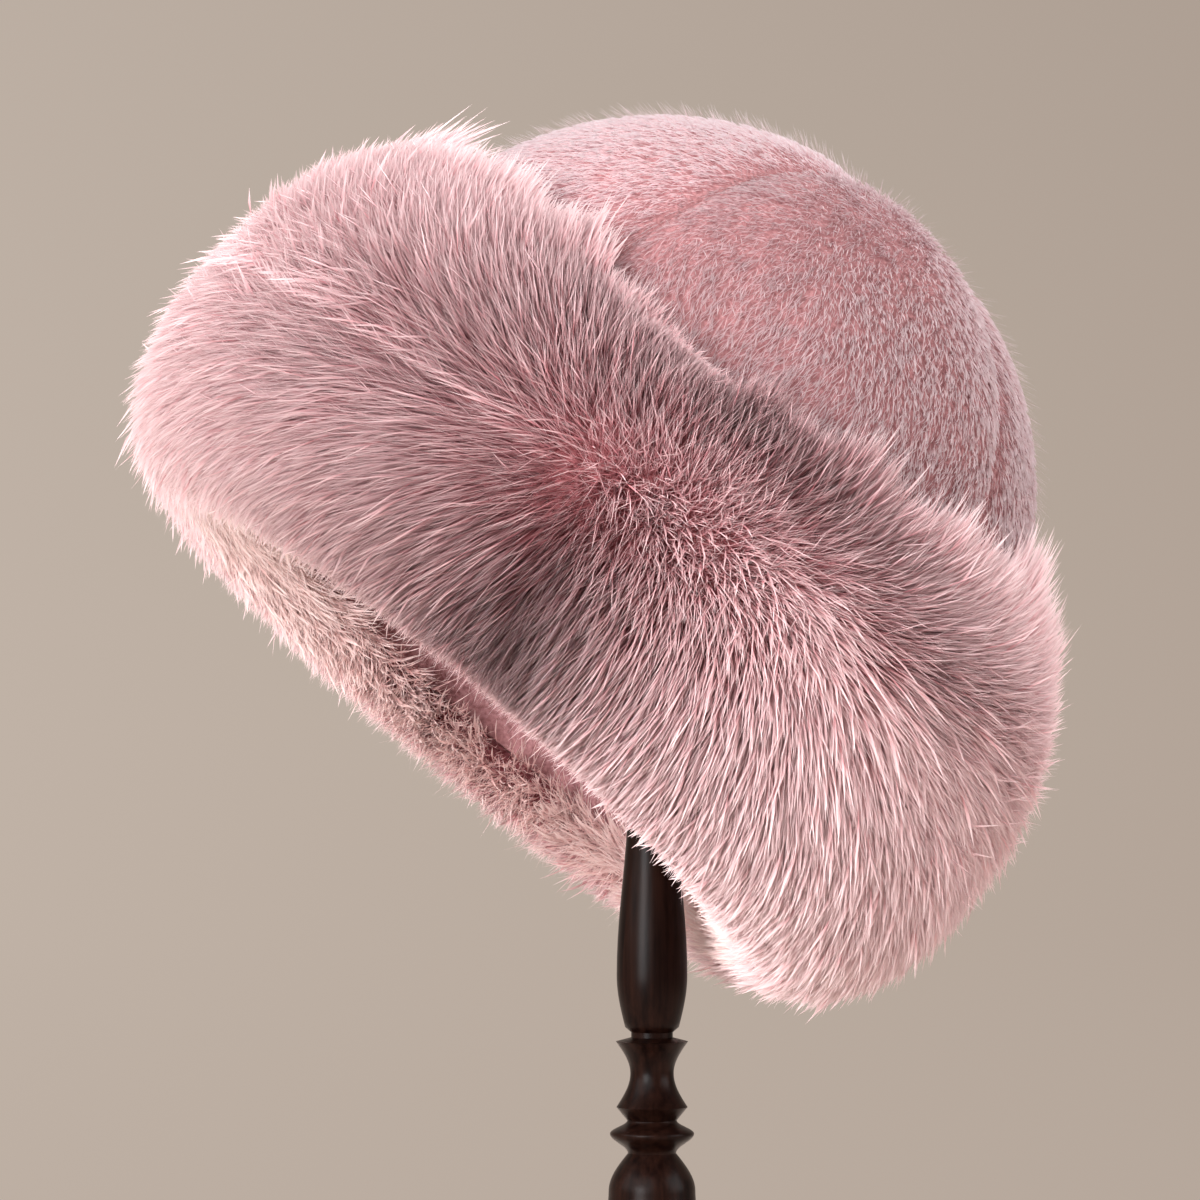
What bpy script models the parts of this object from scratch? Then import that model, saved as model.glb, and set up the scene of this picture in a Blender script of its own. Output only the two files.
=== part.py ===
"""Fur hat on a turned wooden hat stand.

The hat is a plush crown of four gores, open at the rim, with a deep fur cuff
round it. It sits tilted on the domed head of a turned stand. Metres, +Z up,
X to the right and Y away from the viewer. The origin is the middle of the
stand's flat underside.
"""

import math
import random

import bmesh
import bpy
from mathutils import Euler, Vector

# Crown: a half ball above its centre, and a short wall from there to the rim
CROWN_RADIUS = 0.0985
CROWN_WALL = 0.0050
RIM_TAPER = 0.0010
RIM_RADIUS = CROWN_RADIUS - RIM_TAPER
RIM_DROP = 0.0700
GORE_COUNT = 4
FIRST_SEAM = math.radians(-121)
FRONT_GORE_ANGLE = math.radians(83)
GORE_PUFF = 0.0015
SEAM_DEPTH = 0.0016
SEAM_WIDTH = 0.0055
GORE_COLUMNS = 12
GORE_ROWS = 17
PIECE_GAP = 0.0003

# Fur cuff: a backing band round the crown, and locks combed outwards from it.
# Heights along the hat's axis are from the crown's centre
BACKING = 0.0020
BAND_TOP = 0.0100
BAND_BOTTOM = -0.0680
FUR_OUT = 0.0385
FUR_UP = 0.0660
FUR_DOWN = 0.0540
FUR_BELLY = -0.0350
FRONT_DIP = 0.0140
BAND_DIP_SHARE = 0.6
FUR_SQUARENESS = 2.15
FAN_LOW = math.radians(-97)
FAN_HIGH = math.radians(86)
LOCK_BOW = 0.15
LOCKS_AROUND = 40
LOCK_ROWS = 7
BAND_ROWS = 3
LOCK_BODY_REACH = 0.74
LOCK_BODY_WIDTH = 0.84
LOCK_TIP_WIDTH = 0.26
LOCK_LENGTH_SPREAD = 0.07
LOCK_TIP_SPREAD = 0.20
LOCK_SEED = 7
BAND_REACH = -0.5

# How the hat sits: its tilt to the right and its lean away from the viewer
HAT_CENTRE_HEIGHT = 0.2900
HAT_CENTRE_SHIFT = 0.0027
HAT_TILT = math.radians(39.5)
HAT_LEAN = math.radians(9)
FRONT = math.radians(-90)

# Stand
HEAD_RADIUS = 0.0450
HEAD_CUT = 0.0300
HEAD_CLEARANCE = 0.0005
TENON_RADIUS = 0.0050
TENON_LENGTH = 0.0180
SPINDLE_RADIUS = 0.0119
BASE_RADIUS = 0.0750
BASE_HEIGHT = 0.0280
BASE_RIM = 0.0110
BASE_CHAMFER = 0.0015
BASE_LAND = 0.0200
FOOT_TENON_RADIUS = 0.0080
FOOT_TENON_LENGTH = 0.0160
SPINDLE_STEPS = 16
HEAD_STEPS = 24
BASE_STEPS = 32

# Turning of the spindle, from its top to its foot. height is a share of the
# spindle's length, radius a share of SPINDLE_RADIUS, and cut is how the
# radius changes from the row above: evenly along a line, as an S along an
# ogee, or most of it early or late on the way down
TURNING = (
    # height, radius, cut
    (1.000, 0.53, "line"),
    (0.640, 0.55, "line"),
    (0.460, 0.815, "ogee"),
    (0.409, 0.62, "late"),
    (0.404, 0.48, "line"),
    (0.399, 0.48, "line"),
    (0.395, 0.83, "line"),
    (0.364, 0.50, "early"),
    (0.331, 0.82, "late"),
    (0.318, 0.57, "line"),
    (0.305, 0.97, "ogee"),
    (0.286, 0.555, "ogee"),
    (0.249, 1.00, "early"),
    (0.200, 1.13, "ogee"),
    (0.075, 0.74, "ogee"),
    (0.055, 0.74, "line"),
    (0.030, 1.15, "early"),
    (0.000, 1.38, "late"),
)
CUT_STEPS = {"line": 1, "ogee": 4, "early": 4, "late": 4}
CUT_SHARE = {
    "line": lambda way: way,
    "ogee": lambda way: (1 - math.cos(math.pi * way)) / 2,
    "early": lambda way: math.sin(math.pi * way / 2),
    "late": lambda way: 1 - math.cos(math.pi * way / 2),
}

# Finishes
PLUSH_PINK = (0.52, 0.30, 0.29)
FUR_PINK = (0.62, 0.34, 0.33)
DARK_WOOD = (0.022, 0.010, 0.007)


def clear_scene():
    """Take away whatever the file opened with."""
    for obj in list(bpy.data.objects):
        bpy.data.objects.remove(obj, do_unlink=True)


def material(name, colour, roughness, metallic=0.0):
    """A Principled material of one colour."""
    made = bpy.data.materials.new(name)
    made.use_nodes = True
    shader = made.node_tree.nodes["Principled BSDF"]
    shader.inputs["Base Color"].default_value = (*colour, 1.0)
    shader.inputs["Roughness"].default_value = roughness
    shader.inputs["Metallic"].default_value = metallic
    return made


def add_object(name, mesh, collection, finish):
    """An object for a mesh, shaded smooth, in the hat's collection."""
    mesh.materials.append(finish)
    mesh.shade_smooth()
    obj = bpy.data.objects.new(name, mesh)
    collection.objects.link(obj)
    return obj


def mix(low, high, share):
    """The value that lies share of the way from low to high."""
    return low + (high - low) * share


# The crown

def seam_angles():
    """Angles of the seams round the axis, the front gore's two first."""
    others = (2 * math.pi - FRONT_GORE_ANGLE) / (GORE_COUNT - 1)
    second = FIRST_SEAM + FRONT_GORE_ANGLE
    return [FIRST_SEAM] + [second + others * k for k in range(GORE_COUNT - 1)]


def crown_profile(arc):
    """Radius, height and outward slope of the crown at an arc from its top."""
    dome = CROWN_RADIUS * math.pi / 2
    if arc < dome:
        polar = arc / CROWN_RADIUS
        return CROWN_RADIUS * math.sin(polar), CROWN_RADIUS * math.cos(polar), polar
    drop = arc - dome
    radius = mix(CROWN_RADIUS, RIM_RADIUS, drop / RIM_DROP)
    return radius, -drop, math.pi / 2


def crown_relief(arc, across, span):
    """How far the surface stands out: the gore's puff less its seams' valleys."""
    radius, _, polar = crown_profile(arc)
    dome = CROWN_RADIUS * math.pi / 2
    rise = math.sin(math.pi * min(arc / dome, 1.0))
    puff = GORE_PUFF * rise * math.sin(math.pi * across)
    to_seam = min(across, 1 - across) * span * radius
    valley = SEAM_DEPTH * math.exp(-((to_seam / SEAM_WIDTH) ** 2))
    return puff - valley


def gore_point(across, down, seam, span):
    """A point of one gore's outer face, by its shares across and down."""
    tip_radius = PIECE_GAP / 2 / math.sin(span / 2)
    length = CROWN_RADIUS * math.pi / 2 + RIM_DROP
    arc = mix(tip_radius, length, down)
    radius, height, polar = crown_profile(arc)
    edge = math.asin(min(1.0, PIECE_GAP / 2 / radius))
    angle = seam + mix(edge, span - edge, across)
    out = crown_relief(arc, across, span)
    radius += out * math.sin(polar)
    height += out * math.cos(polar)
    return Vector((radius * math.cos(angle), radius * math.sin(angle), height))


def make_gore(name, seam, span, collection, finish):
    """One gore: a curved sheet from the top to the rim, thickened inwards."""
    bm = bmesh.new()
    bmesh.ops.create_grid(bm, x_segments=GORE_COLUMNS, y_segments=GORE_ROWS, size=0.5)
    for vert in bm.verts:
        vert.co = gore_point(vert.co.x + 0.5, 0.5 - vert.co.y, seam, span)
    bmesh.ops.remove_doubles(bm, verts=bm.verts, dist=PIECE_GAP / 10)
    mesh = bpy.data.meshes.new(name)
    bm.to_mesh(mesh)
    bm.free()
    gore = add_object(name, mesh, collection, finish)
    wall = gore.modifiers.new("wall", "SOLIDIFY")
    wall.thickness = CROWN_WALL
    wall.offset = -1.0
    return gore


# The fur cuff

def front_share(angle):
    """1 on the side that faces the viewer, falling to 0 at the two sides."""
    return max(0.0, math.cos(angle - FRONT)) ** 2


def cuff_inside():
    """Inner radius of the backing band, whose flat sides clear the crown."""
    puff_left = GORE_PUFF * math.sin(math.pi * BAND_TOP / CROWN_RADIUS / (math.pi / 2))
    return (CROWN_RADIUS + puff_left + PIECE_GAP) / math.cos(math.pi / LOCKS_AROUND)


def comb(angle, share, reach):
    """A point of the fur in the hat's frame.

    share runs up the band, and reach runs from BAND_REACH on the band's inside
    through 0 at the hair's root to 1 at its tip. A hair is a bowed path from
    its root on the band to its tip on the cuff's rounded outline.
    """
    dip = FRONT_DIP * front_share(angle)
    band_top = BAND_TOP - dip * BAND_DIP_SHARE
    root = Vector((cuff_inside() + BACKING, mix(BAND_BOTTOM, band_top, share)))
    if reach <= 0:
        radius, height = root.x + reach / abs(BAND_REACH) * BACKING, root.y
    else:
        fan = mix(FAN_LOW, FAN_HIGH, share)
        power = 2 / FUR_SQUARENESS
        out = math.copysign(abs(math.cos(fan)) ** power, math.cos(fan))
        rise = math.copysign(abs(math.sin(fan)) ** power, fan)
        reach_up = FUR_UP - dip if fan > 0 else FUR_DOWN
        tip = Vector((root.x + (FUR_OUT - BACKING) * out, FUR_BELLY + reach_up * rise))
        middle = (root + tip) / 2
        middle.x += LOCK_BOW * (tip - root).length
        radius, height = (
            root * (1 - reach) ** 2 + middle * 2 * reach * (1 - reach) + tip * reach ** 2
        )
    return Vector((radius * math.cos(angle), radius * math.sin(angle), height))


def band_tube():
    """A straight tube of unit radius and height, with a cell for each lock."""
    bm = bmesh.new()
    outer = [(1.0, row / LOCK_ROWS) for row in range(LOCK_ROWS + 1)]
    inner = [(1 + BAND_REACH, 1 - row / BAND_ROWS) for row in range(BAND_ROWS + 1)]
    verts = [bm.verts.new((radius, 0.0, height)) for radius, height in outer + inner]
    edges = [bm.edges.new((verts[k - 1], verts[k])) for k in range(len(verts))]
    bmesh.ops.spin(
        bm, geom=verts + edges, cent=(0, 0, 0), axis=(0, 0, 1),
        angle=2 * math.pi, steps=LOCKS_AROUND, use_merge=True,
    )
    bmesh.ops.recalc_face_normals(bm, faces=bm.faces)
    return bm


def cell_order(face):
    """Sorting key of a lock's cell: its row up the band, then its place round it."""
    middle = face.calc_center_median()
    place = math.atan2(middle.y, middle.x) / (2 * math.pi) * LOCKS_AROUND
    return round(middle.z * LOCK_ROWS), round(place * 2)


def grow_locks(bm, faces, reaches, width, drifts):
    """Push each face out by itself to its reach, narrowed round its middle."""
    grown = bmesh.ops.extrude_discrete_faces(bm, faces=faces)["faces"]
    grown.sort(key=cell_order)
    for face, reach, (turn, rise) in zip(grown, reaches, drifts):
        middle = face.calc_center_median()
        for vert in face.verts:
            point = middle + (vert.co - middle) * width
            angle = math.atan2(point.y, point.x) + turn
            height = min(1.0, max(0.0, point.z + rise))
            vert.co = ((1 + reach) * math.cos(angle), (1 + reach) * math.sin(angle), height)
    return grown


def make_cuff(name, collection, finish):
    """The cuff: rows of locks grown from a band, then combed over its outline."""
    dice = random.Random(LOCK_SEED)
    bm = band_tube()
    cells = [f for f in bm.faces if all(v.co.xy.length > 0.99 for v in f.verts)]
    cells.sort(key=cell_order)
    lengths = [1 + dice.uniform(-LOCK_LENGTH_SPREAD, LOCK_LENGTH_SPREAD) for _ in cells]
    bodies = [LOCK_BODY_REACH * length for length in lengths]
    bodied = grow_locks(bm, cells, bodies, LOCK_BODY_WIDTH, [(0.0, 0.0)] * len(cells))
    drifts = [
        (
            dice.uniform(-LOCK_TIP_SPREAD, LOCK_TIP_SPREAD) * 2 * math.pi / LOCKS_AROUND,
            dice.uniform(-LOCK_TIP_SPREAD, LOCK_TIP_SPREAD) / LOCK_ROWS,
        )
        for _ in cells
    ]
    grow_locks(bm, bodied, lengths, LOCK_TIP_WIDTH / LOCK_BODY_WIDTH, drifts)
    stagger = math.pi / LOCKS_AROUND * LOCK_ROWS
    for vert in bm.verts:
        angle = math.atan2(vert.co.y, vert.co.x) + stagger * vert.co.z
        reach = vert.co.xy.length - 1
        vert.co = comb(angle, vert.co.z, reach if reach > BAND_REACH / 2 else BAND_REACH)
    mesh = bpy.data.meshes.new(name)
    bm.to_mesh(mesh)
    bm.free()
    return add_object(name, mesh, collection, finish)


# The stand

def lathe(name, profile, steps, collection, finish):
    """A turned solid from its outline, which starts and ends on the axis."""
    mesh = bpy.data.meshes.new(name)
    points = [(radius, 0.0, height) for radius, height in profile]
    mesh.from_pydata(points, [(k, k + 1) for k in range(len(points) - 1)], [])
    obj = add_object(name, mesh, collection, finish)
    turn = obj.modifiers.new("turn", "SCREW")
    turn.angle = 2 * math.pi
    turn.steps = steps
    turn.render_steps = steps
    turn.use_merge_vertices = True
    turn.merge_threshold = 0.00001
    return obj


def head_centre_height():
    """Height of the head's centre, from where the crown's inside rests on it."""
    up = hat_turn().to_matrix().inverted() @ Vector((0, 0, 1))
    arc = CROWN_RADIUS * math.acos(up.z)
    angle = math.atan2(up.y, up.x) % (2 * math.pi)
    seams = seam_angles() + [FIRST_SEAM + 2 * math.pi]
    relief = 0.0
    for seam, following in zip(seams, seams[1:]):
        across = ((angle - seam) % (2 * math.pi)) / (following - seam)
        if across <= 1:
            relief = crown_relief(arc, across, following - seam)
    inside = CROWN_RADIUS + relief - CROWN_WALL
    between = inside - HEAD_CLEARANCE - HEAD_RADIUS
    return HAT_CENTRE_HEIGHT + math.sqrt(between ** 2 - HAT_CENTRE_SHIFT ** 2)


def head_profile():
    """Outline of the head: a ball cut flat below, with a socket."""
    bottom = math.acos(-HEAD_CUT / HEAD_RADIUS)
    arc = [bottom * k / 12 for k in range(13)]
    dome = [(HEAD_RADIUS * math.sin(a), HEAD_RADIUS * math.cos(a)) for a in arc]
    socket = TENON_RADIUS + PIECE_GAP
    roof = TENON_LENGTH + PIECE_GAP - HEAD_CUT
    return [(0.0, HEAD_RADIUS)] + dome[1:] + [
        (socket, -HEAD_CUT), (socket, roof), (0.0, roof),
    ]


def turned_points(length):
    """The spindle's turned outline as radius and height above its foot."""
    height, radius, _ = TURNING[0]
    points = [(radius * SPINDLE_RADIUS, height * length)]
    for next_height, next_radius, cut in TURNING[1:]:
        steps = CUT_STEPS[cut]
        for k in range(1, steps + 1):
            grown = mix(radius, next_radius, CUT_SHARE[cut](k / steps))
            level = mix(height, next_height, k / steps)
            points.append((grown * SPINDLE_RADIUS, level * length))
        height, radius = next_height, next_radius
    return points


def spindle_profile(length):
    """The spindle's outline, with its tenons above and below."""
    top = length + TENON_LENGTH
    return (
        [(0.0, top), (TENON_RADIUS, top), (TENON_RADIUS, length)]
        + turned_points(length)
        + [(FOOT_TENON_RADIUS, 0.0), (FOOT_TENON_RADIUS, -FOOT_TENON_LENGTH)]
        + [(0.0, -FOOT_TENON_LENGTH)]
    )


def base_profile():
    """Outline of the base: a socket, a flat land, an ogee and an upright rim."""
    socket = FOOT_TENON_RADIUS + PIECE_GAP
    floor = BASE_HEIGHT - FOOT_TENON_LENGTH - 2 * PIECE_GAP
    slope = []
    for k in range(7):
        level = mix(BASE_HEIGHT, BASE_RIM, CUT_SHARE["ogee"](k / 6))
        slope.append((mix(BASE_LAND, BASE_RADIUS - BASE_CHAMFER, k / 6), level))
    return (
        [(0.0, floor), (socket, floor), (socket, BASE_HEIGHT)]
        + slope
        + [(BASE_RADIUS, BASE_RIM - BASE_CHAMFER), (BASE_RADIUS, BASE_CHAMFER)]
        + [(BASE_RADIUS - BASE_CHAMFER, 0.0), (0.0, 0.0)]
    )


def hat_turn():
    """The hat's turn on the stand: leaned back, then tilted to the right."""
    return Euler((-HAT_LEAN, HAT_TILT, 0.0))


def build_hat(collection):
    """The crown's gores and the cuff, carried by an empty at the crown's centre."""
    plush = material("plush", PLUSH_PINK, 0.9)
    fur = material("long_fur", FUR_PINK, 0.85)
    seat = bpy.data.objects.new("hat_seat", None)
    collection.objects.link(seat)
    seat.location = (HAT_CENTRE_SHIFT, 0.0, HAT_CENTRE_HEIGHT)
    seat.rotation_euler = hat_turn()
    seams = seam_angles() + [FIRST_SEAM + 2 * math.pi]
    places = ("front", "right", "back", "left")
    for place, seam, following in zip(places, seams, seams[1:]):
        gore = make_gore("crown_panel_" + place, seam, following - seam, collection, plush)
        gore.parent = seat
    make_cuff("fur_cuff", collection, fur).parent = seat


def build_stand(collection):
    """The turned stand: base, spindle and the head that the hat rests on."""
    wood = material("dark_wood", DARK_WOOD, 0.35)
    head_height = head_centre_height()
    foot = BASE_HEIGHT + PIECE_GAP
    length = head_height - HEAD_CUT - PIECE_GAP - foot
    lathe("stand_base", base_profile(), BASE_STEPS, collection, wood)
    spindle = lathe("stand_spindle", spindle_profile(length), SPINDLE_STEPS, collection, wood)
    spindle.location.z = foot
    head = lathe("stand_head", head_profile(), HEAD_STEPS, collection, wood)
    head.location.z = head_height


def main():
    """Build the hat on its stand."""
    clear_scene()
    collection = bpy.data.collections.new("fur_hat_on_stand")
    bpy.context.scene.collection.children.link(collection)
    build_stand(collection)
    build_hat(collection)


main()
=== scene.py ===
"""Looks of a pink fur hat on a turned hat stand.

The hat's frame has its origin at the middle of the crown's ball and its axis
through the crown's top. Angles run round that axis, heights run up it. The
fur is modelled as thin tapered blades, worked out as whole arrays: a blade's
path is read from the same combed flow that shapes the cuff.
"""

import logging
import math
from dataclasses import dataclass
from enum import Enum
from typing import Optional, Sequence

import bmesh
import bpy
import numpy as np
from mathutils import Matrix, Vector

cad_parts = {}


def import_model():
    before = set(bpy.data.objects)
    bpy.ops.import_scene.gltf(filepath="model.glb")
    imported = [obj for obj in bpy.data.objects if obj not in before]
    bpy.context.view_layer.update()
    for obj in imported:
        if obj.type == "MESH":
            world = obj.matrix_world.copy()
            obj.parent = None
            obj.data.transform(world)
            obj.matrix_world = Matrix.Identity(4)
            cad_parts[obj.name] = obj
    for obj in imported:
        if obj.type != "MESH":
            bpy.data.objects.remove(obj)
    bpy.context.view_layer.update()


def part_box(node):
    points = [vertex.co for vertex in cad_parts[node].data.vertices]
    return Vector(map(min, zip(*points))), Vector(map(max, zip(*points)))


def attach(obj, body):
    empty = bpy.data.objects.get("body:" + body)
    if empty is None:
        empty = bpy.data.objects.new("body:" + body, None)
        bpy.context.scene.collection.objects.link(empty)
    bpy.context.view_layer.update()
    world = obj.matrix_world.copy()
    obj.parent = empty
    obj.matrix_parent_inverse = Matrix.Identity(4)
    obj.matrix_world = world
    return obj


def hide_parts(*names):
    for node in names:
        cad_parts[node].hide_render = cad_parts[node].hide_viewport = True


LOG = logging.getLogger("fur_hat")
STRAND_MAP = "OFBake"
TONE_BANDS = 48
NORMAL_SCATTER = 0.16
Colour = tuple[float, float, float]


def smooth(share: np.ndarray) -> np.ndarray:
    """An S from 0 to 1, level at both ends."""
    kept = np.clip(share, 0.0, 1.0)
    return kept * kept * (3 - 2 * kept)


def mix(low: np.ndarray, high: np.ndarray, share: np.ndarray) -> np.ndarray:
    """The value that lies share of the way from low to high."""
    return low + (high - low) * share


def linear(red: int, green: int, blue: int) -> Colour:
    """A screen colour of 0 to 255 as the linear colour that a shader wants."""
    def channel(value: int) -> float:
        """One channel, by the screen's own curve."""
        part = value / 255
        return part / 12.92 if part <= 0.04045 else ((part + 0.055) / 1.055) ** 2.4
    return channel(red), channel(green), channel(blue)


# Meshes from arrays

def make_piece(name: str, mesh: bpy.types.Mesh, finish: bpy.types.Material) -> bpy.types.Object:
    """Puts a mesh in the scene as a piece that rides on the part's one body.

    Args:
        name: the piece's name.
        mesh: its mesh, already in place.
        finish: its material.

    Returns:
        The new object.
    """
    mesh.materials.append(finish)
    piece = bpy.data.objects.new(name, mesh)
    bpy.context.scene.collection.objects.link(piece)
    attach(piece, "root")
    return piece


def fill_mesh(
    name: str, verts: np.ndarray, corners: np.ndarray, sizes: np.ndarray, uv: Optional[np.ndarray]
) -> bpy.types.Mesh:
    """A smooth mesh from flat arrays.

    Args:
        name: the mesh's name.
        verts: its points, one row each.
        corners: the point of each face corner, face after face.
        sizes: how many corners each face has.
        uv: a place on the strand map for each corner, or None.

    Returns:
        The mesh.
    """
    mesh = bpy.data.meshes.new(name)
    mesh.vertices.add(len(verts))
    mesh.vertices.foreach_set("co", np.ascontiguousarray(verts, dtype=np.float32).ravel())
    mesh.loops.add(len(corners))
    mesh.loops.foreach_set("vertex_index", corners.astype(np.int32))
    mesh.polygons.add(len(sizes))
    starts = np.concatenate(([0], np.cumsum(sizes)[:-1])).astype(np.int32)
    mesh.polygons.foreach_set("loop_start", starts)
    mesh.polygons.foreach_set("use_smooth", np.ones(len(sizes), dtype=bool))
    if uv is not None:
        layer = mesh.uv_layers.new(name=STRAND_MAP)
        layer.uv.foreach_set("vector", np.ascontiguousarray(uv, dtype=np.float32).ravel())
    mesh.update(calc_edges=True)
    mesh.validate()
    return mesh


def sheet_mesh(name: str, points: np.ndarray, closed: tuple[bool, bool]) -> bpy.types.Mesh:
    """A mesh of quads over a grid of points.

    Each grid cell is one quad between a point and its next neighbours along
    the two directions; a closed direction joins its last row to its first.

    Args:
        name: the mesh's name.
        points: the grid, as rows by columns by 3.
        closed: whether the rows, and the columns, close on themselves.

    Returns:
        The mesh.
    """
    rows, columns = points.shape[:2]
    index = np.arange(rows * columns).reshape(rows, columns)
    if closed[0]:
        index = np.vstack((index, index[:1]))
    if closed[1]:
        index = np.hstack((index, index[:, :1]))
    quads = np.stack((index[:-1, :-1], index[:-1, 1:], index[1:, 1:], index[1:, :-1]), axis=-1)
    quads = quads.reshape(-1, 4)
    return fill_mesh(name, points.reshape(-1, 3), quads.ravel(), np.full(len(quads), 4), None)


def blade_mesh(
    name: str, spine: np.ndarray, half_width: np.ndarray, tone: np.ndarray, facing: np.ndarray,
    turn: float, soft: bool, dice: np.random.Generator,
) -> bpy.types.Mesh:
    """A mesh of thin blades, each tapering to a point.

    A blade is a strip of triangles. Its points lie on alternate sides of its
    spine, one to a step, and the last one is its tip. Its sideways direction
    is square to its spine, and it faces outwards, turned by a random angle.
    Soft blades take their normals from the coat as a whole, a little
    scattered, and the others shade flat. On the strand map a blade runs from
    root to tip along u, in the narrow band across v that its tone picks.

    Args:
        name: the mesh's name.
        spine: blades by steps by 3.
        half_width: blades by steps, half of the blade's width.
        tone: one number from 0 to 1 for each blade.
        facing: the coat's outward direction at each blade.
        turn: how far the blades are turned out of it, from 0 for flat ones.
        soft: whether the coat shades as one soft surface.
        dice: the source of the random turns.

    Returns:
        The mesh.
    """
    count, steps = spine.shape[:2]
    along = np.gradient(spine, axis=1)
    helper = facing[:, None] + dice.normal(0, turn, (count, 1, 3))
    side = np.cross(along, helper)
    side /= np.linalg.norm(side, axis=2, keepdims=True) + 1e-12
    front = np.sum(np.cross(side, along) * facing[:, None], axis=(1, 2))
    side *= np.where(front < 0, -1.0, 1.0)[:, None, None]
    hand = np.where(np.arange(steps) % 2, 1.0, -1.0)
    verts = spine + side * (half_width * hand[None])[..., None]
    step = np.arange(steps - 2)
    pattern = np.stack((step, step + 1 + step % 2, step + 2 - step % 2), axis=1).ravel()
    corners = (pattern[None] + steps * np.arange(count)[:, None]).ravel()
    band = np.floor(np.clip(tone, 0, 0.999) * TONE_BANDS)
    reach = (0.01 + 0.98 * np.arange(steps) / (steps - 1))[pattern]
    u = np.broadcast_to(reach, (count, len(pattern)))
    v = (band[:, None] + (0.5 + 0.35 * hand)[pattern][None]) / TONE_BANDS
    uv = np.stack((u, v), axis=-1).reshape(-1, 2)
    mesh = fill_mesh(name, verts.reshape(-1, 3), corners, np.full(count * (steps - 2), 3), uv)
    if soft:
        normals = facing + dice.normal(0, NORMAL_SCATTER, facing.shape)
        normals /= np.linalg.norm(normals, axis=1, keepdims=True) + 1e-12
        mesh.normals_split_custom_set_from_vertices(np.repeat(normals, steps, axis=0))
    else:
        mesh.polygons.foreach_set("use_smooth", np.zeros(len(mesh.polygons), dtype=bool))
        mesh.update()
    return mesh


# Finishes

def new_material(name: str) -> tuple[bpy.types.Material, bpy.types.NodeTree, bpy.types.Node]:
    """An empty node material with its Principled shader.

    Args:
        name: the material's name.

    Returns:
        The material, its node tree and the shader.
    """
    made = bpy.data.materials.new(name)
    made.use_nodes = True
    tree = made.node_tree
    return made, tree, tree.nodes["Principled BSDF"]


def ramp(
    tree: bpy.types.NodeTree, source: bpy.types.NodeSocket, stops: Sequence
) -> bpy.types.NodeSocket:
    """A colour ramp over a value.

    Args:
        tree: the material's tree.
        source: the value that the ramp reads.
        stops: (place, colour) pairs from low to high.

    Returns:
        The ramp's colour.
    """
    node = tree.nodes.new("ShaderNodeValToRGB")
    bar = node.color_ramp
    while len(bar.elements) < len(stops):
        bar.elements.new(0.5)
    for element, (place, colour) in zip(bar.elements, stops):
        element.position = place
        element.color = (*colour, 1.0)
    tree.links.new(source, node.inputs["Fac"])
    return node.outputs["Color"]


@dataclass(frozen=True)
class FurFinish:
    """Fur whose blades go from a dark root to a pale tip.

    The strand map's u gives the place along a blade. Its v is the blade's
    tone: low tones are deeper, high tones paler and a little bluer. Tones
    differ at random, and they also carry painted shade deep in the cuff's
    coat and, in part, along the crown's seams, and painted light on the
    cuff's edges and on two of the crown's gores.
    """

    name: str
    root: Colour
    middle: Colour
    tip: Colour
    deep_and_shaded: Colour = (0.66, 0.58, 0.59)
    pale_and_lit: Colour = (1.12, 1.20, 1.22)
    roughness: float = 0.62
    translucency: float = 0.48

    def make(self) -> bpy.types.Material:
        """The finish as a node material."""
        made, tree, shader = new_material(self.name)
        place = tree.nodes.new("ShaderNodeUVMap")
        place.uv_map = STRAND_MAP
        parts = tree.nodes.new("ShaderNodeSeparateXYZ")
        tree.links.new(place.outputs["UV"], parts.inputs["Vector"])
        length = ramp(
            tree, parts.outputs["X"],
            ((0.0, self.root), (0.42, self.middle), (0.85, self.tip), (1.0, self.tip)),
        )
        tone = ramp(tree, parts.outputs["Y"], ((0.0, self.deep_and_shaded), (1.0, self.pale_and_lit)))
        blend = tree.nodes.new("ShaderNodeMix")
        blend.data_type = "RGBA"
        blend.blend_type = "MULTIPLY"
        blend.inputs["Factor"].default_value = 1.0
        tree.links.new(length, blend.inputs["A"])
        tree.links.new(tone, blend.inputs["B"])
        tree.links.new(blend.outputs["Result"], shader.inputs["Base Color"])
        shader.inputs["Roughness"].default_value = self.roughness
        shader.inputs["Specular IOR Level"].default_value = 0.0
        glow = tree.nodes.new("ShaderNodeBsdfTranslucent")
        tree.links.new(blend.outputs["Result"], glow.inputs["Color"])
        both = tree.nodes.new("ShaderNodeMixShader")
        both.inputs["Fac"].default_value = self.translucency
        tree.links.new(shader.outputs["BSDF"], both.inputs[1])
        tree.links.new(glow.outputs["BSDF"], both.inputs[2])
        out = tree.nodes["Material Output"]
        tree.links.new(both.outputs["Shader"], out.inputs["Surface"])
        return made


@dataclass(frozen=True)
class UnderFurFinish:
    """The dense fur below the tips, mottled on a fine scale."""

    name: str
    dark: Colour
    light: Colour
    scale: float = 900.0
    relief: float = 0.0006

    def make(self) -> bpy.types.Material:
        """The finish as a node material."""
        made, tree, shader = new_material(self.name)
        place = tree.nodes.new("ShaderNodeTexCoord")
        noise = tree.nodes.new("ShaderNodeTexNoise")
        noise.inputs["Scale"].default_value = self.scale
        noise.inputs["Detail"].default_value = 3.0
        tree.links.new(place.outputs["Object"], noise.inputs["Vector"])
        colour = ramp(tree, noise.outputs["Fac"], ((0.3, self.dark), (0.7, self.light)))
        tree.links.new(colour, shader.inputs["Base Color"])
        bump = tree.nodes.new("ShaderNodeBump")
        bump.inputs["Distance"].default_value = self.relief
        tree.links.new(noise.outputs["Fac"], bump.inputs["Height"])
        tree.links.new(bump.outputs["Normal"], shader.inputs["Normal"])
        shader.inputs["Roughness"].default_value = 0.95
        return made


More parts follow.
